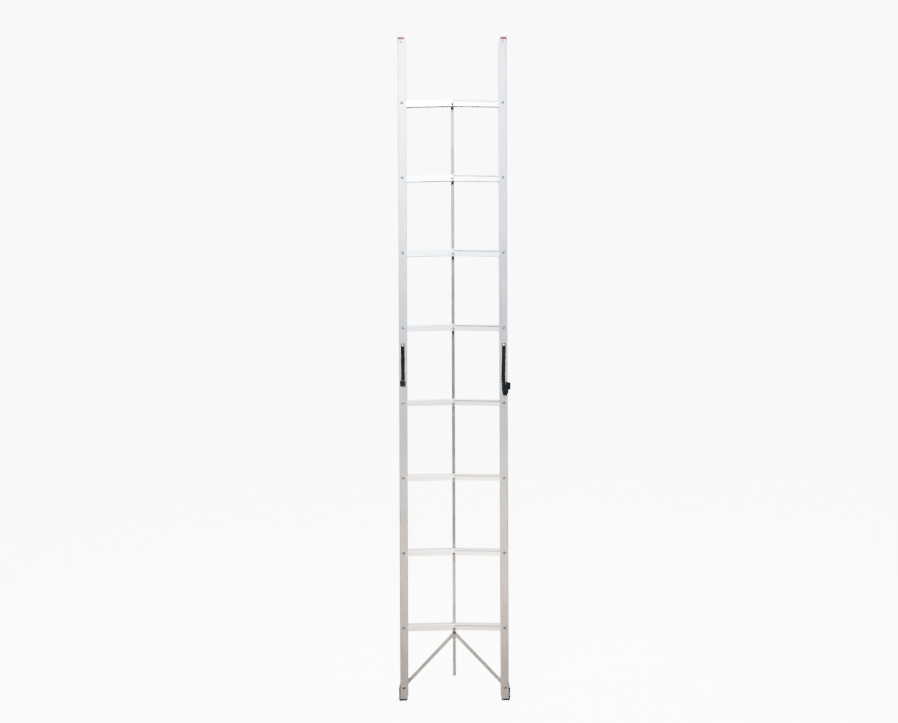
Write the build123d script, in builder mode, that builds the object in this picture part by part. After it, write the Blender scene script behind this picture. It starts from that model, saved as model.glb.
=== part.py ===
from build123d import *
import math
import os

# Side-folding ladder. Two channel rails are joined by eight rungs, and each rung is two
# half-rungs hinged to each other in the middle and to the rails at their ends. A thin bar
# behind the rungs ties the eight middle hinges together. Pushing the bar up folds every
# rung into an upright pair, and the rails come together into one slim box.
#
# Millimetres. +Z is up and +X is to the right, seen from the front, which faces -Y.
# The origin is on the floor, midway between the rails and midway between front and back.

SIDES = {"left": -1, "right": 1}

# Driving dimensions: the rungs' spacing and the fold
RUNG_COUNT = 8
RUNG_PITCH = 304.8
FIRST_PIVOT = 297.0
PIVOT_X = 205.0
OVER_CENTRE = 4.0
FOLDED_X = 17.5

# Rails, open towards the middle of the ladder
RAIL_WIDTH = 34.0
RAIL_DEPTH = 64.0
RAIL_WALL = 2.5
RAIL_CORNER = 4.0
RAIL_OUTER = PIVOT_X + RAIL_WIDTH / 2
RAIL_FRONT = -RAIL_DEPTH / 2
RAIL_BOTTOM = 9.5
RAIL_TOP = 2686.0
FLANGE_GAP = RAIL_DEPTH - 2 * RAIL_WALL

# Half-rungs. Heights are counted from the hinge pins up to the top of the tread.
RUNG_Y = -7.0
RUNG_WIDTH = 40.0
RUNG_HEIGHT = 26.0
RUNG_WALL = 2.5
TREAD_ABOVE_CENTRE_PIN = 19.0
TREAD_ABOVE_RAIL_PIN = 11.0
TREAD_PAST_RAIL_PIN = 5.0
RUNG_END_RADIUS = 8.0
RUNG_FRONT = RUNG_Y - RUNG_WIDTH / 2
RUNG_BACK = RUNG_Y + RUNG_WIDTH / 2
NEST_INSET = {"left": 0.0, "right": 2.9}
LIP_HEIGHT = 5.0
TREAD_NOSE = 1.8
GROOVE_COUNT = 7
GROOVE_SPACING = 4.6
GROOVE_WIDTH = 1.6
GROOVE_DEPTH = 0.5
BUTT_GAP = 0.2
RUNG_LENGTH = math.hypot(PIVOT_X, OVER_CENTRE)

# Hinge pins
PIN_RADIUS = 4.0
RUNNING_FIT = 0.05
RIVET_HEAD_RADIUS = 6.5
RIVET_HEAD_HEIGHT = 1.8
SPACER_RADIUS = 5.5
SPACER_SLACK = 0.25

# Centre bar, a channel open to the back
BAR_WIDTH = 15.0
BAR_DEPTH = 10.0
BAR_WALL = 2.0
BAR_FRONT = 15.8
BAR_BOTTOM = 90.0
BAR_PAST_TOP_PIN = 14.0
BAR_SPACER_RADIUS = 6.5
CENTRE_TAIL_RADIUS = 5.0
CENTRE_TAIL_HEIGHT = 2.0

# Slider on the centre bar, and the two braces that hang from it
SLIDER_Z = 269.5
SLIDER_HEIGHT = 24.0
SLIDER_WALL = 2.0
SLIDER_SLACK = 0.3
BRACE_PIN_RADIUS = 3.0
BRACE_HEAD_RADIUS = 5.6
BRACE_SHOULDER_RADIUS = 5.0
BRACE_FOOT_Z = 55.0
BRACE_WIDTH = 16.0
BRACE_DEPTH = 5.4
BRACE_WALL = 1.4
BRACE_FRONT = {"left": -4.0, "right": 1.8}
HOOK_CLEARANCE = 0.6
HOOK_MOUTH_ANGLE = 36.0
RELIEF_RADIUS = BRACE_SHOULDER_RADIUS + 1.5
RELIEF_MOUTH = (10.0, 13.0)

# Top caps
CAP_TOP = 2699.0
CAP_SKIRT = 5.0
CAP_INNER_SETBACK = 6.0
CAP_OVERHANG = 1.5
CAP_PLUG_DEPTH = 28.0
CAP_PLUG_WALL = 3.0
CAP_RIVET_Z = 2678.0
CAP_RIVET_X = {"left": 210.0, "right": 205.0}
CAP_CROWN = 5.0
CAP_SOFTENING = 1.6
SMALL_RIVET_RADIUS = 2.4
SMALL_HEAD_RADIUS = 4.6
SMALL_HEAD_HEIGHT = 1.4

# Feet
FOOT_PROUD = 5.0
FOOT_HEIGHT = 62.0
FOOT_INNER_SETBACK = 2.0
FOOT_CHAMFER = 3.5
FOOT_PLUG_HEIGHT = 34.0
FOOT_PLUG_SLACK = 0.3
FOOT_GROOVE_SPACING = 8.0
FOOT_GROOVE_WIDTH = 1.6
FOOT_GROOVE_DEPTH = 2.4
FOOT_ROUNDING = 4.5
FOOT_RIVET_Y = (-15.0, 15.0)
FOOT_RIVET_Z = 45.0

# Straps that hold the folded ladder, riveted to the rails
STRAP_WIDTH = 16.0
STRAP_THICK = 1.6
STRAP_RIVET_Z = 1445.5
STRAP_ABOVE_RIVET = 7.0
STRAP_LIFT = 0.2
STRAP_RIVET_SLACK = 0.3
BUCKLE_TOP = 1300.0
BUCKLE_HEIGHT = 23.0
BUCKLE_WIDTH = 23.0
BUCKLE_THICK = 5.0
BUCKLE_ROUNDING = 7.0
BUCKLE_BEVEL = 2.5
STRAP_END_Z = 1292.0
ARC_SHARE = 0.45
COIL_UPPER = (218.0, 1278.0)
COIL_UPPER_RADIUS = 14.0
COIL_LOWER = (208.0, 1254.0)
COIL_LOWER_RADIUS = 15.0
COIL_DEPTH = 30.0


def pivot_heights():
    """Heights of the hinge pins in the rails, lowest first."""
    return [FIRST_PIVOT + RUNG_PITCH * k for k in range(RUNG_COUNT)]


def centre_heights():
    """Heights of the hinge pins in the middle of the rungs, lowest first."""
    return [z - OVER_CENTRE for z in pivot_heights()]


def facing_front(y):
    """Upright plane at depth y. Its x is +X, its y is +Z and it faces -Y."""
    return Plane.XZ.offset(-y)


def disc_stack(x, z, steps):
    """Coaxial discs along Y at (x, z). Each step is front y, back y and radius."""
    for front, back, radius in steps:
        with BuildSketch(facing_front(back)) as disc:
            with Locations((x, z)):
                Circle(radius)
        extrude(disc.sketch, amount=back - front)


def ring(x, z, front, back, radius, hole):
    """A spacer ring along Y at (x, z)."""
    with BuildSketch(facing_front(back)) as washer:
        with Locations((x, z)):
            Circle(radius)
            Circle(hole, mode=Mode.SUBTRACT)
    extrude(washer.sketch, amount=back - front)


def domed_head(x, z, y, radius, height, outward):
    """A rivet's dome on a face at depth y. Outward is -1 to the front, 1 to the back."""
    dome = (radius ** 2 + height ** 2) / (2 * height)
    with BuildSketch(Plane(origin=(x, y, z), x_dir=(1, 0, 0), z_dir=(0, 0, 1))) as half:
        with BuildLine():
            Line((0, 0), (radius, 0))
            RadiusArc((radius, 0), (0, outward * height), -outward * dome)
            Line((0, outward * height), (0, 0))
        make_face()
    revolve(half.sketch, axis=Axis((x, y, z), (0, 1, 0)))


def through_rivet(x, z, front, back, radius, head_radius, head_height):
    """A pin from front to back with a dome outside each face."""
    disc_stack(x, z, [(front, back, radius)])
    domed_head(x, z, front, head_radius, head_height, -1)
    domed_head(x, z, back, head_radius, head_height, 1)


def write(name, part):
    """Label a finished piece and write it as its own file."""
    part.label = name
    export_step(part, f"parts/{name}.step")


def foot_rivet_holes(s):
    """Holes along X for the rivets that hold the foot's wrap to the rail's web."""
    with BuildSketch(Plane.YZ.offset(s * PIVOT_X)) as holes:
        with Locations(*[(y, FOOT_RIVET_Z) for y in FOOT_RIVET_Y]):
            Circle(SMALL_RIVET_RADIUS)
    extrude(holes.sketch, amount=s * RAIL_WIDTH, mode=Mode.SUBTRACT)


def make_rail(side, s):
    """A C channel with its web outside and its two flanges towards the middle."""
    with BuildPart() as rail:
        with BuildSketch(Plane.XY.offset(RAIL_BOTTOM)) as profile:
            with Locations((s * PIVOT_X, 0)):
                Rectangle(RAIL_WIDTH, RAIL_DEPTH)
            outer = profile.vertices().group_by(Axis.X)[-1 if s > 0 else 0]
            fillet(outer, RAIL_CORNER)
            with Locations((s * (PIVOT_X - RAIL_WALL), 0)):
                Rectangle(RAIL_WIDTH, FLANGE_GAP, mode=Mode.SUBTRACT)
        extrude(amount=RAIL_TOP - RAIL_BOTTOM)
        with BuildSketch(facing_front(RAIL_DEPTH)):
            with Locations(*[(s * PIVOT_X, z) for z in pivot_heights() + [BRACE_FOOT_Z]]):
                Circle(PIN_RADIUS)
        extrude(amount=2 * RAIL_DEPTH, mode=Mode.SUBTRACT)
        with BuildSketch(facing_front(0)):
            with Locations((s * CAP_RIVET_X[side], CAP_RIVET_Z), (s * PIVOT_X, STRAP_RIVET_Z)):
                Circle(SMALL_RIVET_RADIUS)
        extrude(amount=RAIL_DEPTH, mode=Mode.SUBTRACT)
        foot_rivet_holes(s)
    write(f"rail_{side}", rail.part)


def make_rail_pins(side, s):
    """Pins through both rail flanges that carry the half-rungs, one solid each."""
    with BuildPart() as pins:
        for z in pivot_heights():
            through_rivet(s * PIVOT_X, z, RAIL_FRONT, -RAIL_FRONT,
                          PIN_RADIUS, RIVET_HEAD_RADIUS, RIVET_HEAD_HEIGHT)
    write(f"rung_pins_{side}", pins.part)


def make_rung_spacers(side, s):
    """Rings on the rung pins that fill the gaps between the rail and the half-rungs."""
    inset = NEST_INSET[side]
    gap_front = (RAIL_FRONT + RAIL_WALL, RUNG_FRONT + inset - SPACER_SLACK)
    gap_back = (RUNG_BACK - inset + SPACER_SLACK, -RAIL_FRONT - RAIL_WALL)
    with BuildPart() as spacers:
        for z in pivot_heights():
            for front, back in (gap_front, gap_back):
                ring(s * PIVOT_X, z, front, back, SPACER_RADIUS, PIN_RADIUS)
    write(f"rung_spacers_{side}", spacers.part)


def rung_outline(s, centre_z):
    """Side view of a half-rung, with a round ear at the middle pin."""
    rail_z = centre_z + OVER_CENTRE
    top_centre = centre_z + TREAD_ABOVE_CENTRE_PIN
    top_slope = (rail_z + TREAD_ABOVE_RAIL_PIN - top_centre) / PIVOT_X
    end_x = PIVOT_X + RUNG_END_RADIUS
    tread_x = PIVOT_X + TREAD_PAST_RAIL_PIN
    top_end = top_centre + top_slope * tread_x
    bottom_end = top_centre + top_slope * end_x - RUNG_HEIGHT
    with BuildLine() as outline:
        Polyline((s * BUTT_GAP, top_centre),
                 (s * tread_x, top_end),
                 (s * end_x, rail_z),
                 (s * end_x, bottom_end + RUNG_END_RADIUS / 2),
                 (s * (end_x - RUNG_END_RADIUS / 2), bottom_end),
                 (s * BUTT_GAP, top_centre - RUNG_HEIGHT),
                 close=True)
    make_face(outline.line)
    with Locations((0, centre_z)):
        Circle(RUNG_END_RADIUS)


def rung_profile(inset):
    """Cross-section of a half-rung seen along it: grooved tread, two flanges and two lips.
    Its x is the ladder's depth and its y is the height above the underside."""
    top = RUNG_HEIGHT
    Rectangle(RUNG_WIDTH, top, align=(Align.CENTER, Align.MIN))
    inner_width = RUNG_WIDTH - 2 * inset - 2 * RUNG_WALL
    Rectangle(inner_width, top - RUNG_WALL, align=(Align.CENTER, Align.MIN), mode=Mode.SUBTRACT)
    if inset:
        below_lip = top - LIP_HEIGHT
        for edge in (-1, 1):
            with Locations((edge * (RUNG_WIDTH - inset) / 2, 0)):
                Rectangle(inset, below_lip, align=(Align.CENTER, Align.MIN), mode=Mode.SUBTRACT)
        slot = inset - RUNG_WALL
        for edge in (-1, 1):
            with Locations((edge * (RUNG_WIDTH / 2 - RUNG_WALL - slot / 2), below_lip)):
                Rectangle(slot, LIP_HEIGHT - RUNG_WALL, align=(Align.CENTER, Align.MIN),
                          mode=Mode.SUBTRACT)
    with Locations((0, top)):
        with GridLocations(GROOVE_SPACING, 1, GROOVE_COUNT, 1):
            Rectangle(GROOVE_WIDTH, 2 * GROOVE_DEPTH, mode=Mode.SUBTRACT)


def relief_path():
    """Where the slider's pin ends up beside the lowest half-rung when the ladder is folded:
    its distance from the rail pin along the rung, and its distance below that line."""
    brace = math.hypot(PIVOT_X, SLIDER_Z - BRACE_FOOT_Z)
    folded_z = BRACE_FOOT_Z + math.sqrt(brace ** 2 - FOLDED_X ** 2)
    turn = math.acos(FOLDED_X / RUNG_LENGTH)
    rise = folded_z - FIRST_PIVOT
    along = FOLDED_X * math.cos(turn) + rise * math.sin(turn)
    below = FOLDED_X * math.sin(turn) - rise * math.cos(turn)
    return along, below


def make_half_rung(side, s, number, centre_z):
    """Half of a folding rung, an inverted channel whose open side faces down."""
    inset = NEST_INSET[side]
    rail_z = centre_z + OVER_CENTRE
    drop = TREAD_ABOVE_CENTRE_PIN - TREAD_ABOVE_RAIL_PIN - OVER_CENTRE
    tilt = math.atan2(drop, PIVOT_X)
    under = centre_z + TREAD_ABOVE_CENTRE_PIN - RUNG_HEIGHT
    along = (s * math.cos(tilt), 0, -math.sin(tilt))
    overrun = 2 * RUNG_END_RADIUS
    origin = (-s * overrun, RUNG_Y, under + overrun * math.tan(tilt))
    with BuildPart() as rung:
        with BuildSketch(Plane(origin=origin, x_dir=(0, s, 0), z_dir=along)) as section:
            rung_profile(inset)
            nose = section.vertices().group_by(Axis.Y)[-1].sort_by(Axis.X)
            fillet([nose[0], nose[-1]], TREAD_NOSE)
        extrude(amount=PIVOT_X + 3 * overrun)
        with BuildSketch(facing_front(RAIL_DEPTH)):
            rung_outline(s, centre_z)
        extrude(amount=2 * RAIL_DEPTH, mode=Mode.INTERSECT)
        with BuildSketch(facing_front(RAIL_DEPTH)):
            with Locations((0, centre_z), (s * PIVOT_X, rail_z)):
                Circle(PIN_RADIUS + RUNNING_FIT)
        extrude(amount=2 * RAIL_DEPTH, mode=Mode.SUBTRACT)
        if number == 1:
            reach, depth = relief_path()
            dip = math.atan2(OVER_CENTRE, PIVOT_X)
            seat_x = PIVOT_X - reach * math.cos(dip) + depth * math.sin(dip)
            seat_z = rail_z - reach * math.sin(dip) - depth * math.cos(dip)
            mouth = (s * (seat_x - RELIEF_MOUTH[0]), seat_z - RELIEF_MOUTH[1])
            with BuildSketch(facing_front(RAIL_DEPTH)):
                with Locations((s * seat_x, seat_z), mouth):
                    Circle(RELIEF_RADIUS)
                make_hull()
            extrude(amount=RAIL_DEPTH - RUNG_Y, mode=Mode.SUBTRACT)
    write(f"rung_{side}_{number}", rung.part)


def make_centre_pins():
    """Pins in the middle of the rungs, riveted into the bar, one solid each."""
    tail = BAR_FRONT + BAR_WALL
    with BuildPart() as pins:
        for z in centre_heights():
            disc_stack(0, z, [(RUNG_FRONT - SPACER_SLACK, tail, PIN_RADIUS),
                              (tail, tail + CENTRE_TAIL_HEIGHT, CENTRE_TAIL_RADIUS)])
            domed_head(0, z, RUNG_FRONT - SPACER_SLACK, RIVET_HEAD_RADIUS, RIVET_HEAD_HEIGHT, -1)
    write("centre_pins", pins.part)


def make_centre_spacers():
    """Rings between the rungs and the bar, one on each middle pin."""
    with BuildPart() as spacers:
        for z in centre_heights():
            ring(0, z, RUNG_BACK + SPACER_SLACK, BAR_FRONT, BAR_SPACER_RADIUS, PIN_RADIUS)
    write("centre_spacers", spacers.part)


def make_centre_bar():
    """The upright channel that ties the middle pins together and guides the slider."""
    top = centre_heights()[-1] + BAR_PAST_TOP_PIN
    with BuildPart() as bar:
        with BuildSketch(Plane.XY.offset(BAR_BOTTOM)):
            with Locations((0, BAR_FRONT + BAR_DEPTH / 2)):
                Rectangle(BAR_WIDTH, BAR_DEPTH)
            with Locations((0, BAR_FRONT + BAR_DEPTH / 2 + BAR_WALL)):
                Rectangle(BAR_WIDTH - 2 * BAR_WALL, BAR_DEPTH, mode=Mode.SUBTRACT)
        extrude(amount=top - BAR_BOTTOM)
        with BuildSketch(facing_front(BAR_FRONT + BAR_WALL)):
            with Locations(*[(0, z) for z in centre_heights()]):
                Circle(PIN_RADIUS)
        extrude(amount=BAR_WALL, mode=Mode.SUBTRACT)
    write("centre_bar", bar.part)


def make_slider():
    """The collar that runs on the centre bar and carries the braces' pin."""
    inner = (BAR_WIDTH + 2 * SLIDER_SLACK, BAR_DEPTH + 2 * SLIDER_SLACK)
    with BuildPart() as slider:
        with BuildSketch(Plane.XY.offset(SLIDER_Z - SLIDER_HEIGHT / 2)):
            with Locations((0, BAR_FRONT + BAR_DEPTH / 2)):
                RectangleRounded(inner[0] + 2 * SLIDER_WALL, inner[1] + 2 * SLIDER_WALL, SLIDER_WALL)
                Rectangle(*inner, mode=Mode.SUBTRACT)
        extrude(amount=SLIDER_HEIGHT)
        with BuildSketch(facing_front(BAR_FRONT)):
            with Locations((0, SLIDER_Z)):
                Circle(BRACE_PIN_RADIUS)
        extrude(amount=2 * SLIDER_WALL, mode=Mode.SUBTRACT)
    write("slider", slider.part)


def make_slider_pin():
    """The shouldered pin in the slider that both braces turn on."""
    head_back = BRACE_FRONT["left"] + BRACE_DEPTH - BRACE_WALL - SPACER_SLACK
    shoulder_front = BRACE_FRONT["right"] + BRACE_WALL + SPACER_SLACK
    plate_front = BAR_FRONT - SLIDER_SLACK - SLIDER_WALL
    plate_back = BAR_FRONT - SLIDER_SLACK
    with BuildPart() as pin:
        disc_stack(0, SLIDER_Z, [(head_back, plate_back, BRACE_PIN_RADIUS),
                                 (shoulder_front, plate_front, BRACE_SHOULDER_RADIUS)])
        domed_head(0, SLIDER_Z, head_back, BRACE_HEAD_RADIUS, RIVET_HEAD_HEIGHT, -1)
    write("slider_pin", pin.part)


def make_brace(side, s):
    """A pressed channel from the slider's pin to the rail, with a hook round the rail's pin.
    The left one is open to the front, the right one to the back."""
    run = PIVOT_X, SLIDER_Z - BRACE_FOOT_Z
    length = math.hypot(*run)
    front = BRACE_FRONT[side]
    back = front + BRACE_DEPTH
    along = (s * run[0] / length, 0, -run[1] / length)
    open_front = side == "left"
    hook = math.radians(HOOK_MOUTH_ANGLE)

    def brace_plane(y):
        return Plane(origin=(0, y, SLIDER_Z), x_dir=along, z_dir=(0, -1, 0))

    with BuildPart() as brace:
        with BuildSketch(brace_plane(back)):
            with Locations((length / 2, 0)):
                SlotCenterToCenter(length, BRACE_WIDTH)
        extrude(amount=BRACE_DEPTH)
        pocket_back = back - BRACE_WALL if open_front else back
        with BuildSketch(brace_plane(pocket_back)):
            with Locations((length / 2, 0)):
                SlotCenterToCenter(length, BRACE_WIDTH - 2 * BRACE_WALL)
        extrude(amount=BRACE_DEPTH - BRACE_WALL, mode=Mode.SUBTRACT)
        with BuildSketch(brace_plane(back)):
            Circle(BRACE_PIN_RADIUS + RUNNING_FIT)
        extrude(amount=BRACE_DEPTH, mode=Mode.SUBTRACT)
        with BuildSketch(brace_plane(back)):
            mouth = (length + BRACE_WIDTH * math.cos(hook), s * BRACE_WIDTH * math.sin(hook))
            with Locations((length, 0), mouth):
                Circle(PIN_RADIUS + HOOK_CLEARANCE)
            make_hull()
        extrude(amount=BRACE_DEPTH, mode=Mode.SUBTRACT)
    write(f"brace_{side}", brace.part)


def make_brace_foot_pin(side, s):
    """The pin through both rail flanges that holds the foot of the brace."""
    with BuildPart() as pin:
        through_rivet(s * PIVOT_X, BRACE_FOOT_Z, RAIL_FRONT, -RAIL_FRONT,
                      PIN_RADIUS, RIVET_HEAD_RADIUS, RIVET_HEAD_HEIGHT)
    write(f"brace_foot_pin_{side}", pin.part)


def make_cap(side, s):
    """A moulded cap on the rail's top end, with a hollow plug inside the channel."""
    outer = RAIL_OUTER + CAP_OVERHANG
    inner = RAIL_OUTER - RAIL_WIDTH + CAP_INNER_SETBACK
    plug_outer = RAIL_OUTER - RAIL_WALL
    plug_width = plug_outer - inner
    with BuildPart() as cap:
        with BuildSketch(Plane.XY.offset(RAIL_TOP)):
            with Locations((s * (outer + inner) / 2, 0)):
                Rectangle(outer - inner, RAIL_DEPTH)
        extrude(amount=CAP_TOP - RAIL_TOP)
        fillet(cap.edges().filter_by(Axis.Y).group_by(Axis.Z)[-1], CAP_CROWN)
        fillet(cap.edges().group_by(Axis.Z)[-1], CAP_SOFTENING)
        with BuildSketch(Plane.XY.offset(RAIL_TOP)):
            with Locations((s * (RAIL_OUTER + CAP_OVERHANG / 2), 0)):
                Rectangle(CAP_OVERHANG, RAIL_DEPTH - 2 * RAIL_CORNER)
        extrude(amount=-CAP_SKIRT)
        with BuildSketch(Plane.XY.offset(RAIL_TOP)):
            with Locations((s * (plug_outer + inner) / 2, 0)):
                Rectangle(plug_width, FLANGE_GAP)
                Rectangle(plug_width - 2 * CAP_PLUG_WALL, FLANGE_GAP - 2 * CAP_PLUG_WALL,
                          mode=Mode.SUBTRACT)
        extrude(amount=-CAP_PLUG_DEPTH)
        with BuildSketch(facing_front(0)):
            with Locations((s * CAP_RIVET_X[side], CAP_RIVET_Z)):
                Circle(SMALL_RIVET_RADIUS)
        extrude(amount=RAIL_DEPTH, mode=Mode.SUBTRACT)
    write(f"top_cap_{side}", cap.part)


def blind_rivet(x, z, face, grip):
    """A blind rivet whose dome sits on the face and whose tail closes behind the grip."""
    disc_stack(x, z, [(face, face + grip, SMALL_RIVET_RADIUS),
                      (face + grip, face + grip + SMALL_HEAD_HEIGHT, SMALL_HEAD_RADIUS)])
    domed_head(x, z, face, SMALL_HEAD_RADIUS, SMALL_HEAD_HEIGHT, -1)


def make_cap_rivet(side, s):
    """The rivet that holds the cap's plug to the front flange."""
    with BuildPart() as rivet:
        blind_rivet(s * CAP_RIVET_X[side], CAP_RIVET_Z, RAIL_FRONT, RAIL_WALL + CAP_PLUG_WALL)
    write(f"cap_rivet_{side}", rivet.part)


def make_foot(side, s):
    """A rubber foot: a thick sole, a plug inside the channel and a wrap up the outside."""
    outer = RAIL_OUTER + FOOT_PROUD
    inner = RAIL_OUTER - RAIL_WIDTH + FOOT_INNER_SETBACK
    plug_outer = RAIL_OUTER - RAIL_WALL - FOOT_PLUG_SLACK
    with BuildPart() as foot:
        with BuildSketch(facing_front(RAIL_DEPTH / 2)):
            with BuildLine():
                Polyline((s * (inner + FOOT_CHAMFER), 0), (s * (outer - FOOT_PROUD), 0),
                         (s * outer, FOOT_PROUD), (s * outer, FOOT_HEIGHT - 2 * FOOT_PROUD),
                         (s * RAIL_OUTER, FOOT_HEIGHT), (s * RAIL_OUTER, RAIL_BOTTOM),
                         (s * inner, RAIL_BOTTOM), (s * inner, FOOT_CHAMFER), close=True)
            make_face()
        extrude(amount=RAIL_DEPTH)
        fillet(foot.edges().filter_by(Axis.Z).group_by(Axis.X)[-1 if s > 0 else 0], FOOT_ROUNDING)
        with BuildSketch(Plane.XY.offset(RAIL_BOTTOM)):
            with Locations((s * (plug_outer + inner) / 2, 0)):
                Rectangle(plug_outer - inner, FLANGE_GAP - 2 * FOOT_PLUG_SLACK)
        extrude(amount=FOOT_PLUG_HEIGHT - RAIL_BOTTOM)
        with BuildSketch(facing_front(RAIL_DEPTH / 2)):
            grooves = math.floor((RAIL_WIDTH - 2 * FOOT_CHAMFER) / FOOT_GROOVE_SPACING)
            with Locations((s * PIVOT_X, 0)):
                with GridLocations(FOOT_GROOVE_SPACING, 1, grooves, 1):
                    Rectangle(FOOT_GROOVE_WIDTH, 2 * FOOT_GROOVE_DEPTH)
        extrude(amount=RAIL_DEPTH, mode=Mode.SUBTRACT)
        foot_rivet_holes(s)
    write(f"foot_{side}", foot.part)


def make_foot_rivets(side, s):
    """The rivets through the foot's wrap and the rail's web, one solid each."""
    face = RAIL_OUTER + FOOT_PROUD
    web = RAIL_OUTER - RAIL_WALL
    dome = (SMALL_HEAD_RADIUS ** 2 + SMALL_HEAD_HEIGHT ** 2) / (2 * SMALL_HEAD_HEIGHT)
    with BuildPart() as rivets:
        for y in FOOT_RIVET_Y:
            for start, length, radius in ((web, face - web, SMALL_RIVET_RADIUS),
                                          (web - SMALL_HEAD_HEIGHT, SMALL_HEAD_HEIGHT,
                                           SMALL_HEAD_RADIUS)):
                with BuildSketch(Plane.YZ.offset(s * start)):
                    with Locations((y, FOOT_RIVET_Z)):
                        Circle(radius)
                extrude(amount=s * length)
            with BuildSketch(Plane(origin=(s * face, y, FOOT_RIVET_Z))):
                with BuildLine():
                    Line((0, 0), (0, SMALL_HEAD_RADIUS))
                    RadiusArc((0, SMALL_HEAD_RADIUS), (s * SMALL_HEAD_HEIGHT, 0), s * dome)
                    Line((s * SMALL_HEAD_HEIGHT, 0), (0, 0))
                make_face()
            revolve(axis=Axis((0, y, FOOT_RIVET_Z), (1, 0, 0)))
    write(f"foot_rivets_{side}", rivets.part)


# Straps. Each route is its middle line, from its riveted end to its loose end.
STRAP_Y = RAIL_FRONT - STRAP_LIFT - STRAP_THICK / 2
STRAP_ROUTES = {
    "left": [(-205.0, STRAP_Y, 1452.5),
             (-205.0, STRAP_Y - 0.3, 1423.0),
             (-205.0, STRAP_Y - 1.6, 1383.0),
             (-205.0, STRAP_Y - 1.9, 1342.0),
             (-205.0, STRAP_Y - 1.2, BUCKLE_TOP + STRAP_LIFT)],
    "right": [(205.0, STRAP_Y - 0.3, 1452.5),
              (204.0, STRAP_Y - 0.3, 1423.0),
              (201.0, STRAP_Y - 0.3, 1382.0),
              (200.5, STRAP_Y - 0.3, 1337.0),
              (202.0, STRAP_Y - 0.3, STRAP_END_Z)],
}


def bend_radii(route):
    """The largest tangent arc that fits at each inner point of a route."""
    points = [Vector(*p) for p in route]
    radii = []
    for before, here, after in zip(points, points[1:], points[2:]):
        turn = math.radians((here - before).get_angle(after - here))
        shorter = min((here - before).length, (after - here).length)
        radii.append(ARC_SHARE * shorter / math.tan(turn / 2))
    return radii


def make_strap(side, s):
    """A flat webbing strap that hangs from its rivet in front of the rail."""
    route = STRAP_ROUTES[side]
    radii = bend_radii(route)
    with BuildPart() as strap:
        with BuildLine():
            path = FilletPolyline(*route, radius=radii)
        with BuildSketch(Plane(origin=path @ 0, x_dir=(1, 0, 0), z_dir=path % 0)):
            Rectangle(STRAP_WIDTH, STRAP_THICK)
        sweep()
        with BuildSketch(facing_front(0)):
            with Locations((s * PIVOT_X, STRAP_RIVET_Z)):
                Circle(SMALL_RIVET_RADIUS)
        extrude(amount=RAIL_DEPTH, mode=Mode.SUBTRACT)
    expected = path.length * STRAP_WIDTH * STRAP_THICK
    print(f"strap_{side}: {path.length:.1f} mm long, radii {[round(r) for r in radii]},",
          f"volume {strap.part.volume:.0f} of {expected:.0f}")
    write(f"strap_{side}", strap.part)


def make_strap_rivet(side, s):
    """The rivet that fastens a strap to the rail's front flange."""
    face = RAIL_FRONT - 2 * STRAP_LIFT - STRAP_THICK - STRAP_RIVET_SLACK
    with BuildPart() as rivet:
        blind_rivet(s * PIVOT_X, STRAP_RIVET_Z, face, RAIL_FRONT + RAIL_WALL - face)
    write(f"strap_rivet_{side}", rivet.part)


def make_strap_coil():
    """The curled-up tail of the right strap, as one plain solid under the strap's end."""
    back = STRAP_Y + STRAP_THICK / 2
    end_x = STRAP_ROUTES["right"][-1][0]
    with BuildPart() as coil:
        with BuildSketch(facing_front(back)):
            with Locations(COIL_UPPER):
                Circle(COIL_UPPER_RADIUS)
            with Locations(COIL_LOWER):
                Circle(COIL_LOWER_RADIUS)
            with Locations((end_x, STRAP_END_Z)):
                Rectangle(STRAP_WIDTH, STRAP_WIDTH, align=(Align.CENTER, Align.MAX))
            make_hull()
        extrude(amount=COIL_DEPTH)
    write("strap_coil", coil.part)


def make_strap_buckle():
    """The plastic buckle on the left strap's end: a tapered block with two recesses."""
    back = RAIL_FRONT - STRAP_LIFT
    middle = BUCKLE_TOP - BUCKLE_HEIGHT / 2
    border = 4.0
    with BuildPart() as buckle:
        with BuildSketch(facing_front(back)) as outline:
            with Locations((-PIVOT_X, middle)):
                Rectangle(BUCKLE_WIDTH, BUCKLE_HEIGHT)
            fillet(outline.vertices().group_by(Axis.Y)[0], BUCKLE_ROUNDING)
        extrude(amount=BUCKLE_THICK)
        top_edge = buckle.edges().filter_by(Axis.X).group_by(Axis.Y)[0].sort_by(Axis.Z)[-1]
        chamfer(top_edge, BUCKLE_BEVEL)
        with BuildSketch(facing_front(back - BUCKLE_THICK / 2)):
            with Locations((-PIVOT_X, middle - border), (-PIVOT_X, middle + border / 2)):
                RectangleRounded(BUCKLE_WIDTH - 2.5 * border, border, border / 4)
        extrude(amount=BUCKLE_THICK, mode=Mode.SUBTRACT)
    write("strap_buckle", buckle.part)


os.makedirs("parts", exist_ok=True)
for side_name, sign in SIDES.items():
    make_rail(side_name, sign)
    make_rail_pins(side_name, sign)
    make_rung_spacers(side_name, sign)
    make_brace(side_name, sign)
    make_brace_foot_pin(side_name, sign)
    make_cap(side_name, sign)
    make_cap_rivet(side_name, sign)
    make_foot(side_name, sign)
    make_foot_rivets(side_name, sign)
    make_strap(side_name, sign)
    make_strap_rivet(side_name, sign)
    for rung_number, height in enumerate(centre_heights(), start=1):
        make_half_rung(side_name, sign, rung_number, height)
make_centre_pins()
make_centre_spacers()
make_centre_bar()
make_slider()
make_slider_pin()
make_strap_coil()
make_strap_buckle()
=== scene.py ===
import math

import bmesh
import bpy
from mathutils import Matrix, Vector


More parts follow.
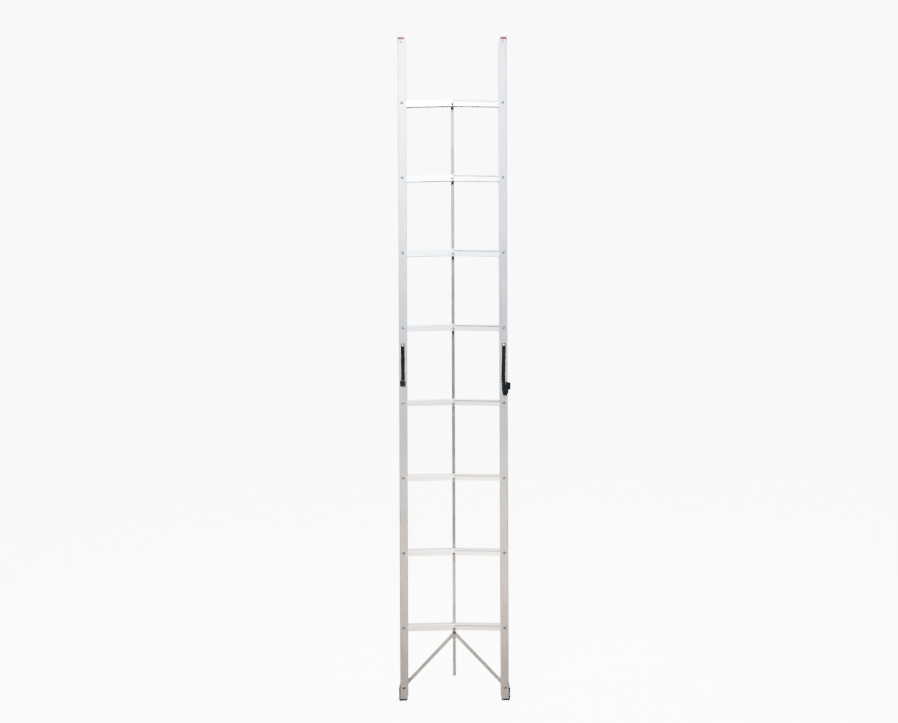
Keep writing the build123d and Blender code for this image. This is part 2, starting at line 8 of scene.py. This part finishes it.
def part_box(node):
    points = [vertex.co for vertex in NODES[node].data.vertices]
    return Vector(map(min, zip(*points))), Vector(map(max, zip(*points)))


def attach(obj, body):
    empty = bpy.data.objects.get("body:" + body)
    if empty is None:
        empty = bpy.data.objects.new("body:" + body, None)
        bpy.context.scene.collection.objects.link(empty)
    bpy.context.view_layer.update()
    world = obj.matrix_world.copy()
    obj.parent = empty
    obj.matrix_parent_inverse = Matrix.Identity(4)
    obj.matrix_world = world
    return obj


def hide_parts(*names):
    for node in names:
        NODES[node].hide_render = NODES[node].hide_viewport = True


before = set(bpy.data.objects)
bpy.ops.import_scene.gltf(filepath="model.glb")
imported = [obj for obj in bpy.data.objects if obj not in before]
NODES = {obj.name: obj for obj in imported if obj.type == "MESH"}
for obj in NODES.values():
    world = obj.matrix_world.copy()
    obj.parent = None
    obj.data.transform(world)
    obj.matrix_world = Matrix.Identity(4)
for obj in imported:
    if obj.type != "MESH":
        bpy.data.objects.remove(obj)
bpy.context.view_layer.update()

# The folding ladder's looks: webbing straps, metals, plastics and rubber, light and camera.
# Everything is in metres, +Z up and +X to the right. The ladder's front faces -Y.

SIDES = ("left", "right")
RUNGS = range(1, 9)
RAIL_FACE = round(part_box("rail_left")[0].y, 4)


# Camera: level, square to the ladder's front, and rolled a little, as the ladder is seen

SENSOR = 36.0
VIEW_WIDTH = 3.646
CAMERA_DISTANCE = 5.0
CAMERA_X = -0.0175
CAMERA_Z = 1.379
CAMERA_ROLL = -0.22
FARTHEST_SEEN = 100


def make_camera():
    """The camera, which looks along +Y, its distance measured from the rails' front faces."""
    data = bpy.data.cameras.new("camera")
    data.sensor_width = SENSOR
    data.lens = SENSOR * CAMERA_DISTANCE / VIEW_WIDTH
    data.clip_end = FARTHEST_SEEN
    camera = bpy.data.objects.new("camera", data)
    camera.matrix_world = (
        Matrix.Translation((CAMERA_X, RAIL_FACE - CAMERA_DISTANCE, CAMERA_Z))
        @ Matrix.Rotation(math.radians(90), 4, "X")
        @ Matrix.Rotation(math.radians(CAMERA_ROLL), 4, "Z")
    )
    bpy.context.scene.collection.objects.link(camera)
    bpy.context.scene.camera = camera


# Straps. Each route holds the control points of the webbing's middle line, from its riveted
# end to its loose end.

STRAP_WIDTH = 0.016
STRAP_THICK = 0.0016
STRAP_STRIPS = 6
LINE_STEPS = 12
STRAP_Y = RAIL_FACE - 0.001
LEFT_ROUTE = [
    (-0.2050, STRAP_Y, 1.4525),
    (-0.2050, STRAP_Y - 0.0003, 1.4230),
    (-0.2050, STRAP_Y - 0.0016, 1.3830),
    (-0.2050, STRAP_Y - 0.0019, 1.3420),
    (-0.2050, STRAP_Y - 0.0012, 1.3002),
]
RIGHT_ROUTE = [
    (0.2050, STRAP_Y - 0.0003, 1.4525),
    (0.2052, STRAP_Y - 0.0003, 1.4230),
    (0.2045, STRAP_Y - 0.0003, 1.3820),
    (0.2030, STRAP_Y - 0.0003, 1.3370),
    (0.2026, STRAP_Y - 0.0010, 1.3000),
]
# The loose tail turns forward and up, then over and down again in front of itself
RIGHT_CURL = [
    (0.2035, -0.0385, 1.2760),
    (0.2050, -0.0385, 1.2610),
    (0.2076, -0.0405, 1.2475),
    (0.2105, -0.0455, 1.2400),
    (0.2134, -0.0505, 1.2475),
    (0.2165, -0.0510, 1.2600),
    (0.2180, -0.0495, 1.2770),
    (0.2192, -0.0515, 1.2920),
    (0.2235, -0.0570, 1.2960),
    (0.2250, -0.0605, 1.2850),
    (0.2230, -0.0605, 1.2630),
]


def smooth_line(name, route):
    """Points along the quadratic NURBS curve that has the route as its control points."""
    curve = bpy.data.curves.new(name, "CURVE")
    curve.dimensions = "3D"
    curve.resolution_u = LINE_STEPS
    spline = curve.splines.new("NURBS")
    spline.points.add(len(route) - 1)
    for point, place in zip(spline.points, route):
        point.co = (*place, 1.0)
    spline.order_u = 3
    spline.use_endpoint_u = True
    helper = bpy.data.objects.new(name, curve)
    mesh = bpy.data.meshes.new_from_object(helper)
    line = [v.co.copy() for v in mesh.vertices]
    bpy.data.objects.remove(helper)
    bpy.data.meshes.remove(mesh)
    return line


def line_length(line):
    """The length of a line of points."""
    return sum((b - a).length for a, b in zip(line, line[1:]))


def ribbon(name, line, across_at):
    """A flat webbing band along a line. across_at gives its width direction at a length share.

    Its UV map holds metres: X across the band, and Y along it, measured back from its loose end.
    """
    half_width, half_thick = STRAP_WIDTH / 2, STRAP_THICK / 2
    edge = half_width - half_thick
    outline = [(-half_width, 0.0)]
    outline += [(-edge + 2 * edge * k / STRAP_STRIPS, half_thick) for k in range(STRAP_STRIPS + 1)]
    outline += [(half_width, 0.0)]
    outline += [(u, -v) for u, v in reversed(outline[1:-1])]
    bm = bmesh.new()
    uv = bm.loops.layers.uv.new("webbing")
    total = line_length(line)
    travelled = 0.0
    rings, lengths = [], []
    for i, place in enumerate(line):
        ahead = line[min(i + 1, len(line) - 1)] - line[max(i - 1, 0)]
        tangent = ahead.normalized()
        across = across_at(travelled / total)
        across = (across - tangent * across.dot(tangent)).normalized()
        normal = tangent.cross(across)
        rings.append([bm.verts.new(place + across * u + normal * v) for u, v in outline])
        lengths.append(travelled)
        if i + 1 < len(line):
            travelled += (line[i + 1] - place).length
    count = len(outline)
    for i in range(len(rings) - 1):
        for j in range(count):
            k = (j + 1) % count
            face = bm.faces.new((rings[i][j], rings[i][k], rings[i + 1][k], rings[i + 1][j]))
            face.smooth = True
            corners = ((j, i), (k, i), (k, i + 1), (j, i + 1))
            for loop, (point, step) in zip(face.loops, corners):
                loop[uv].uv = (outline[point][0], lengths[step] - total)
    bm.faces.new(list(reversed(rings[0])))
    bm.faces.new(rings[-1])
    bmesh.ops.recalc_face_normals(bm, faces=bm.faces)
    mesh = bpy.data.meshes.new(name)
    bm.to_mesh(mesh)
    bm.free()
    piece = bpy.data.objects.new(name, mesh)
    bpy.context.scene.collection.objects.link(piece)
    return piece


def make_left_strap():
    """The strap that hangs straight down to its buckle."""
    line = smooth_line("left strap line", LEFT_ROUTE)
    strap = ribbon("webbing_left", line, lambda share: Vector((1, 0, 0)))
    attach(strap, "left_rail")
    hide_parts("strap_left")
    return strap


# The tail's turn in the view from the front and its twist about its own length, in degrees,
# by its share of the strap's length
TAIL_TURNS = [(0.00, 0, 0), (0.48, 0, 0), (0.56, 8, 36), (0.62, 14, 8), (0.69, 0, 0),
              (0.76, -13, 0), (0.86, -6, 0), (1.00, -10, 0)]


def across_tail(share):
    """The webbing's width direction at a share of the right strap's length."""
    for (start, *first), (end, *second) in zip(TAIL_TURNS, TAIL_TURNS[1:]):
        if share <= end:
            part = (share - start) / (end - start)
            eased = part * part * (3 - 2 * part)
            turn, twist = (math.radians(a + (b - a) * eased) for a, b in zip(first, second))
            break
    flat = math.cos(twist)
    return Vector((math.cos(turn) * flat, -math.sin(twist), math.sin(turn) * flat))


def make_right_strap():
    """The strap with the curled, loose tail."""
    line = smooth_line("right strap line", RIGHT_ROUTE + RIGHT_CURL)
    strap = ribbon("webbing_right", line, across_tail)
    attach(strap, "right_rail")
    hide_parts("strap_right", "strap_coil")
    return strap


# Materials

def new_material(name, colour, roughness, metallic=0.0):
    """A material and its shader."""
    material = bpy.data.materials.new(name)
    material.use_nodes = True
    shader = material.node_tree.nodes["Principled BSDF"]
    shader.inputs["Base Color"].default_value = (*colour, 1)
    shader.inputs["Roughness"].default_value = roughness
    shader.inputs["Metallic"].default_value = metallic
    return material, shader


def add(material, kind, **sockets):
    """A new node with its inputs set by name."""
    node = material.node_tree.nodes.new(kind)
    for socket, value in sockets.items():
        node.inputs[socket.replace("_", " ")].default_value = value
    return node


def link(material, source, target):
    """Joins an output to an input."""
    material.node_tree.links.new(source, target)


NOISE_ROUGHNESS = 0.55


def noise(material, stretch, scale, detail):
    """Noise over the object's own coordinates, stretched by a factor along each axis."""
    place = add(material, "ShaderNodeTexCoord")
    mapping = add(material, "ShaderNodeMapping")
    mapping.inputs["Scale"].default_value = stretch
    texture = add(material, "ShaderNodeTexNoise", Scale=scale, Detail=detail,
                  Roughness=NOISE_ROUGHNESS)
    link(material, place.outputs["Object"], mapping.inputs["Vector"])
    link(material, mapping.outputs["Vector"], texture.inputs["Vector"])
    return texture.outputs["Fac"]


def spread(material, value, low, high, start=0.3, end=0.7):
    """Maps a texture's middle range onto low to high."""
    node = material.node_tree.nodes.new("ShaderNodeMapRange")
    ends = {"From Min": start, "From Max": end, "To Min": low, "To Max": high}
    for socket, number in ends.items():
        node.inputs[socket].default_value = number
    link(material, value, node.inputs["Value"])
    return node.outputs["Result"]


def tint(material, value, dark, light, start=0.3, end=0.7):
    """Colours a texture from dark to light."""
    node = material.node_tree.nodes.new("ShaderNodeValToRGB")
    node.color_ramp.elements[0].position = start
    node.color_ramp.elements[0].color = (*dark, 1)
    node.color_ramp.elements[1].position = end
    node.color_ramp.elements[1].color = (*light, 1)
    link(material, value, node.inputs["Fac"])
    return node.outputs["Color"]


def bump(material, shader, height, strength, distance):
    """Raises the surface by a texture, up to a distance in metres."""
    node = add(material, "ShaderNodeBump", Strength=strength, Distance=distance)
    link(material, height, node.inputs["Height"])
    link(material, node.outputs["Normal"], shader.inputs["Normal"])


# Painted shade in corners and narrow gaps: how far it reaches, in metres, and its samples
CORNER_SHADE_REACH = 0.006
CORNER_SHADE_SAMPLES = 8


def painted_crevice_shade(material, darkest):
    """Painted shade: a grey that falls from 1 on open faces to darkest in corners and narrow gaps.
    """
    node = add(material, "ShaderNodeAmbientOcclusion", Distance=CORNER_SHADE_REACH)
    node.samples = CORNER_SHADE_SAMPLES
    return spread(material, node.outputs["AO"], darkest, 1.0, start=0.15, end=0.85)


def shade(material, colour, factor):
    """Multiplies a colour by a grey."""
    node = material.node_tree.nodes.new("ShaderNodeMix")
    node.data_type = "RGBA"
    node.blend_type = "MULTIPLY"
    node.inputs["Factor"].default_value = 1.0
    link(material, colour, node.inputs["A"])
    link(material, factor, node.inputs["B"])
    return next(out for out in node.outputs if out.type == "RGBA")


def object_axes(material):
    """The object's own X, Y and Z."""
    place = add(material, "ShaderNodeTexCoord")
    split = add(material, "ShaderNodeSeparateXYZ")
    link(material, place.outputs["Object"], split.inputs["Vector"])
    return split.outputs


def combine(material, kind, first, second=0.0):
    """A Math node on two values, each a number or another node's output."""
    node = material.node_tree.nodes.new("ShaderNodeMath")
    node.operation = kind
    for socket, value in zip(node.inputs, (first, second)):
        if isinstance(value, (int, float)):
            socket.default_value = value
        else:
            link(material, value, socket)
    return node.outputs[0]


LOWEST_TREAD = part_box("rung_left_1")[1].z
HIGHEST_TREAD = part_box("rung_left_8")[1].z
RUNG_PITCH = (HIGHEST_TREAD - LOWEST_TREAD) / (len(RUNGS) - 1)
# The treads' fall towards the rails, in metres per metre
RUNG_SLOPE = 0.0195
# Painted shade lines along the rungs' faces: the shade in the grooves, and the shadow under the
# right halves' lip. For each, how far it is below the tread, its half width, and the share of the
# colour that is left in it
FLUTE_SHADES = [(0.0130, 0.0013, 0.80), (0.0190, 0.0013, 0.84)]
LIP_SHADOW = (0.0064, 0.0024, 0.12)


def rung_shade_lines(material, lines):
    """A grey for painted shade lines, with soft edges that follow each half-rung's slope."""
    x, _, z = object_axes(material)
    slope = combine(material, "MULTIPLY", combine(material, "ABSOLUTE", x), RUNG_SLOPE)
    height = combine(material, "ADD", z, slope)
    down = combine(material, "SUBTRACT", HIGHEST_TREAD + RUNG_PITCH, height)
    depth = combine(material, "MODULO", down, RUNG_PITCH)
    grey = None
    for below, half, left in lines:
        off = combine(material, "ABSOLUTE", combine(material, "SUBTRACT", depth, below))
        line = spread(material, off, left, 1.0, 0.5 * half, 1.5 * half)
        grey = line if grey is None else combine(material, "MULTIPLY", grey, line)
    return grey


# Painted shade round the rim of a strap rivet's head: the share of colour left, and where it
# starts and is full, in metres from the head's middle
RIM_SHADE = 0.03
RIM_STARTS = 0.0032
RIM_FULL = 0.0045


def painted_rim_shade(material, name):
    """A grey that darkens a rivet's rim: painted shade round the edge of its head."""
    low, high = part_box(name)
    x, _, z = object_axes(material)
    squares = []
    for value, middle in ((x, (low.x + high.x) / 2), (z, (low.z + high.z) / 2)):
        off = combine(material, "SUBTRACT", value, middle)
        squares.append(combine(material, "MULTIPLY", off, off))
    away = combine(material, "SQRT", combine(material, "ADD", *squares))
    return spread(material, away, 1.0, RIM_SHADE, RIM_STARTS, RIM_FULL)


# Painted light and shade on the centre bar by height: lighter below the first height, darker above
# the second, and the factor for each
LIT_BELOW = 0.42
SHADED_ABOVE = 0.66
LOW_END_LIT = 1.45
UPPER_SHADED = 0.58


def bar_shade_by_height(material):
    """A grey for the centre bar: painted light and shade, lighter at its low end and darker above
    it.
    """
    return spread(material, object_axes(material)[2], LOW_END_LIT, UPPER_SHADED, LIT_BELOW, SHADED_ABOVE)


# How much a metal's texture is stretched along X, Y and Z. Draw lines are long where it is low.
UPRIGHT_RAIL = (40, 40, 0.6)
UPRIGHT_BAR = (30, 30, 1.5)
LEVEL = (0.6, 40, 40)
EVEN = (1, 1, 1)
STAIN_STRETCH = (3, 3, 1.2)
STAIN_SCALE = 6.0
# Scratches: these multiply the draw lines' stretch and scale
SCRATCH_STRETCH = 2.5
SCRATCH_SCALE = 0.6
LINE_SCALE = 60.0
RIVET_SCALE = 300.0


def brushed_metal(name, dark, light, stretch, roughness, scale=LINE_SCALE, corner_shade=0.35, extra=None):
    """Metal with fine draw lines along the piece, faint stains, scratches and painted shade in its
    corners.
    """
    material, shader = new_material(name, light, roughness[0], metallic=1.0)
    lines = noise(material, stretch, scale, detail=6.0)
    stains = noise(material, STAIN_STRETCH, STAIN_SCALE, detail=3.0)
    scratches = noise(material, tuple(SCRATCH_STRETCH * s for s in stretch),
                      SCRATCH_SCALE * scale, detail=1.0)
    colour = tint(material, stains, dark, light)
    streaks = spread(material, lines, 0.90, 1.04, start=0.35, end=0.65)
    colour = shade(material, colour, streaks)
    marks = spread(material, scratches, 1.0, 0.80, start=0.66, end=0.72)
    colour = shade(material, colour, marks)
    # Painted shade in corners and narrow gaps
    colour = shade(material, colour, painted_crevice_shade(material, corner_shade))
    if extra is not None:
        colour = shade(material, colour, extra(material))
    link(material, colour, shader.inputs["Base Color"])
    link(material, spread(material, lines, *roughness), shader.inputs["Roughness"])
    bump(material, shader, lines, strength=0.25, distance=0.0002)
    return material


def rubber():
    """Black rubber with a fine grain, scuffed grey in places."""
    material, shader = new_material("rubber", (0.03, 0.034, 0.03), 0.7)
    shader.inputs["Specular IOR Level"].default_value = 0.12
    grain = noise(material, EVEN, 900.0, detail=2.0)
    scuffs = noise(material, (1, 1, 2.5), 45.0, detail=6.0)
    colour = tint(material, scuffs, (0.006, 0.008, 0.006), (0.028, 0.031, 0.027),
                  start=0.35, end=0.8)
    link(material, colour, shader.inputs["Base Color"])
    link(material, spread(material, scuffs, 0.55, 0.85), shader.inputs["Roughness"])
    bump(material, shader, grain, strength=0.35, distance=0.0003)
    return material


def moulded_plastic(name, dark, light, roughness, specular=0.5):
    """Slightly cloudy plastic with a fine moulded grain."""
    material, shader = new_material(name, light, roughness)
    shader.inputs["Specular IOR Level"].default_value = specular
    grain = noise(material, EVEN, 1400.0, detail=2.0)
    cloud = noise(material, EVEN, 30.0, detail=3.0)
    link(material, tint(material, cloud, dark, light), shader.inputs["Base Color"])
    link(material, spread(material, cloud, roughness - 0.06, roughness + 0.08),
         shader.inputs["Roughness"])
    bump(material, shader, grain, strength=0.2, distance=0.0002)
    return material


# Waves of the weave, in radians per metre, and the reach of the paler band at the loose end
WEAVE_RIBS = 5200.0
WEAVE_SLANT = 2600.0
WEAVE_WARP = 1.3 * WEAVE_RIBS
WARP_DEPTH = 0.5
PALE_END_DEPTH = 0.004
PALE_END_FULL = 0.0032
PALE_END_LIGHTNESS = 8.0


def webbing():
    """Black webbing: slanting ribs woven across the band, and a paler band at its loose end."""
    material, shader = new_material("webbing", (0.02, 0.02, 0.022), 0.85)
    place = add(material, "ShaderNodeTexCoord")
    split = add(material, "ShaderNodeSeparateXYZ")
    link(material, place.outputs["UV"], split.inputs["Vector"])
    across, along = split.outputs["X"], split.outputs["Y"]
    slant = combine(material, "MULTIPLY", combine(material, "ABSOLUTE", across), WEAVE_SLANT)
    picks = combine(material, "MULTIPLY", along, WEAVE_RIBS)
    ribs = combine(material, "SINE", combine(material, "ADD", slant, picks))
    warp = combine(material, "SINE", combine(material, "MULTIPLY", across, WEAVE_WARP))
    height = combine(material, "ADD", ribs, combine(material, "MULTIPLY", warp, WARP_DEPTH))
    fuzz = noise(material, EVEN, 260.0, detail=5.0)
    colour = tint(material, fuzz, (0.002, 0.002, 0.0023), (0.007, 0.007, 0.008))
    # Paler for the last few millimetres before the loose end
    pale_end = spread(material, along, 1.0, PALE_END_LIGHTNESS, start=-PALE_END_DEPTH, end=-PALE_END_FULL)
    colour = shade(material, colour, pale_end)
    link(material, colour, shader.inputs["Base Color"])
    dullness = spread(material, height, 0.75, 0.95, start=-1 - WARP_DEPTH, end=1 + WARP_DEPTH)
    link(material, dullness, shader.inputs["Roughness"])
    shader.inputs["Sheen Weight"].default_value = 0.012
    shader.inputs["Specular IOR Level"].default_value = 0.05
    bump(material, shader, height, strength=0.5, distance=0.0003)
    return material


def assign(material, *names):
    """Gives CAD nodes a finished material."""
    for name in names:
        for slot in NODES[name].material_slots:
            slot.material = material


def both(stem):
    """The names of a left and a right node."""
    return [f"{stem}_{side}" for side in SIDES]


def finish_metal():
    """Aluminium rails and rungs, the steel bar with its slider and braces, and the rivets."""
    rails = brushed_metal("rail aluminium", (0.255, 0.255, 0.26), (0.325, 0.325, 0.33),
                          UPRIGHT_RAIL, (0.32, 0.46))
    assign(rails, *both("rail"))
    # Each half-rung's aluminium has painted shade lines; the right halves also have a painted
    # shadow under their lip
    for side, lines in (("left", FLUTE_SHADES), ("right", [LIP_SHADOW, *FLUTE_SHADES])):
        rungs = brushed_metal(f"rung aluminium {side}", (0.82, 0.82, 0.825), (0.94, 0.94, 0.945),
                              LEVEL, (0.28, 0.42), corner_shade=0.85,
                              extra=lambda material: rung_shade_lines(material, lines))
        assign(rungs, *[f"rung_{side}_{k}" for k in RUNGS])
    # The bar's steel has painted shade: darker above its low end
    bar = brushed_metal("bar steel", (0.14, 0.135, 0.127), (0.23, 0.222, 0.208),
                        UPRIGHT_BAR, (0.30, 0.44), extra=bar_shade_by_height)
    assign(bar, "centre_bar")
    steel = brushed_metal("plated steel", (0.22, 0.212, 0.196), (0.34, 0.326, 0.302),
                          UPRIGHT_BAR, (0.30, 0.44))
    assign(steel, "slider", *both("brace"))
    rivet = brushed_metal("rivet steel", (0.06, 0.058, 0.055), (0.14, 0.137, 0.132),
                          EVEN, (0.22, 0.38), scale=RIVET_SCALE)
    assign(rivet, "centre_pins", "slider_pin", *both("rung_pins"), *both("brace_foot_pin"),
           *both("foot_rivets"), *both("cap_rivet"))
    # The strap rivets: bright metal, with painted shade round the rim of each head
    for side in SIDES:
        eyelet = brushed_metal(f"bright rivet {side}", (0.42, 0.42, 0.42), (0.60, 0.60, 0.60),
                               EVEN, (0.28, 0.45), scale=RIVET_SCALE,
                               extra=lambda material: painted_rim_shade(material, f"strap_rivet_{side}"))
        assign(eyelet, f"strap_rivet_{side}")


def finish_soft():
    """Rubber feet, red caps, pale spacers and the black buckle."""
    assign(rubber(), *both("foot"))
    red = moulded_plastic("red plastic", (0.12, 0.002, 0.004), (0.20, 0.005, 0.008), 0.5, 0.25)
    assign(red, *both("top_cap"))
    nylon = moulded_plastic("nylon", (0.74, 0.73, 0.68), (0.82, 0.81, 0.77), 0.5)
    assign(nylon, "centre_spacers", *both("rung_spacers"))
    black = moulded_plastic("black plastic", (0.003, 0.003, 0.004), (0.008, 0.009, 0.010),
                            0.32, 0.15)
    assign(black, "strap_buckle")


# Room: a pale floor that turns up into a round wall. The camera sees it as nearly white, and it
# neither lights the ladder nor shows in the metal.

FLOOR_RADIUS = 11.0
SWEEP_RADIUS = 3.0
SWEEP_STEPS = 12
WALL_HEIGHT = 14.0
SECTORS = 64
WHITE = (0.92, 0.92, 0.92)
GLOW = 9.0


def make_floor():
    """The floor, its upward sweep and the wall, as rings about the ladder."""
    bm = bmesh.new()
    section = [(FLOOR_RADIUS, 0.0)]
    for k in range(1, SWEEP_STEPS + 1):
        angle = math.radians(90) * k / SWEEP_STEPS
        section.append((FLOOR_RADIUS + SWEEP_RADIUS * math.sin(angle),
                        SWEEP_RADIUS * (1 - math.cos(angle))))
    section.append((FLOOR_RADIUS + SWEEP_RADIUS, WALL_HEIGHT))
    turns = [2 * math.pi * k / SECTORS for k in range(SECTORS)]
    rows = [[bm.verts.new((r * math.cos(turn), r * math.sin(turn), z)) for turn in turns]
            for r, z in section]
    bm.faces.new(rows[0])
    for inner, outer in zip(rows, rows[1:]):
        for j in range(SECTORS):
            k = (j + 1) % SECTORS
            face = bm.faces.new((inner[j], inner[k], outer[k], outer[j]))
            face.smooth = True
    mesh = bpy.data.meshes.new("floor")
    bm.to_mesh(mesh)
    bm.free()
    floor = bpy.data.objects.new("floor", mesh)
    bpy.context.scene.collection.objects.link(floor)
    floor.visible_diffuse = False
    floor.visible_glossy = False
    material, shader = new_material("pale floor", WHITE, 0.9)
    shader.inputs["Emission Color"].default_value = (1, 1, 1, 1)
    shader.inputs["Emission Strength"].default_value = GLOW
    mesh.materials.append(material)


def area_light(name, place, target, size, power, colour, spread_angle):
    """A soft light that shines from a place at a target, and that the camera doesn't see."""
    data = bpy.data.lights.new(name, "AREA")
    data.shape = "RECTANGLE"
    data.size, data.size_y = size
    data.energy = power
    data.color = colour
    data.spread = math.radians(spread_angle)
    light = bpy.data.objects.new(name, data)
    light.visible_camera = False
    aim = Vector(target) - Vector(place)
    light.location = place
    light.rotation_euler = aim.to_track_quat("-Z", "Y").to_euler()
    bpy.context.scene.collection.objects.link(light)


COOL = (0.74, 0.87, 1.0)
WARM = (1.0, 0.80, 0.62)
# Each light's name, place, target, size, power in watts, colour and spread in degrees
LIGHTS = [
    ("key", (-0.9, -4.4, 3.8), (0, 0, 2.0), (2.0, 1.6), 125, COOL, 60),
    ("left", (-4.0, -1.4, 1.8), (0, 0, 1.4), (2.5, 2.5), 90, COOL, 90),
    ("right", (4.0, -0.4, 1.8), (0, 0, 1.4), (2.5, 2.5), 90, WHITE, 90),
    ("fill", (0.3, -3.8, 0.3), (0, 0, 0.2), (1.8, 0.8), 10, WARM, 60),
    ("back", (2.0, 4.4, 3.0), (0, 0, 1.5), (2.4, 2.0), 80, COOL, 80),
]
# The world's light by the height it comes from: share of the way up, and colour
ROOM_LIGHT = [(0.00, (0.80, 0.70, 0.60)), (0.42, (0.80, 0.66, 0.54)), (0.50, (0.60, 0.60, 0.60)),
              (0.60, (0.62, 0.76, 0.92)), (0.85, (0.90, 0.96, 1.00)), (1.00, (1.00, 1.00, 1.00))]
# How much stronger the world's light is from behind the ladder than from in front
BEHIND = 3.0


def make_world():
    """Light from all round: warm below, cool above, and strongest from behind the ladder."""
    world = bpy.data.worlds.new("studio")
    world.use_nodes = True
    place = add(world, "ShaderNodeTexCoord")
    split = add(world, "ShaderNodeSeparateXYZ")
    link(world, place.outputs["Generated"], split.inputs["Vector"])
    height = spread(world, split.outputs["Z"], 0.0, 1.0, start=-1.0, end=1.0)
    ramp = world.node_tree.nodes.new("ShaderNodeValToRGB")
    stops = ramp.color_ramp.elements
    for share, _ in ROOM_LIGHT[1:-1]:
        stops.new(share)
    for stop, (share, colour) in zip(stops, ROOM_LIGHT):
        stop.position = share
        stop.color = (*colour, 1)
    link(world, height, ramp.inputs["Fac"])
    background = world.node_tree.nodes["Background"]
    link(world, ramp.outputs["Color"], background.inputs["Color"])
    behind = spread(world, split.outputs["Y"], 1.0, BEHIND, start=0.2, end=0.8)
    link(world, behind, background.inputs["Strength"])
    bpy.context.scene.world = world


make_camera()
straps = [make_left_strap(), make_right_strap()]
band = webbing()
for strap in straps:
    strap.data.materials.append(band)
finish_metal()
finish_soft()
make_floor()
for light in LIGHTS:
    area_light(*light)
make_world()
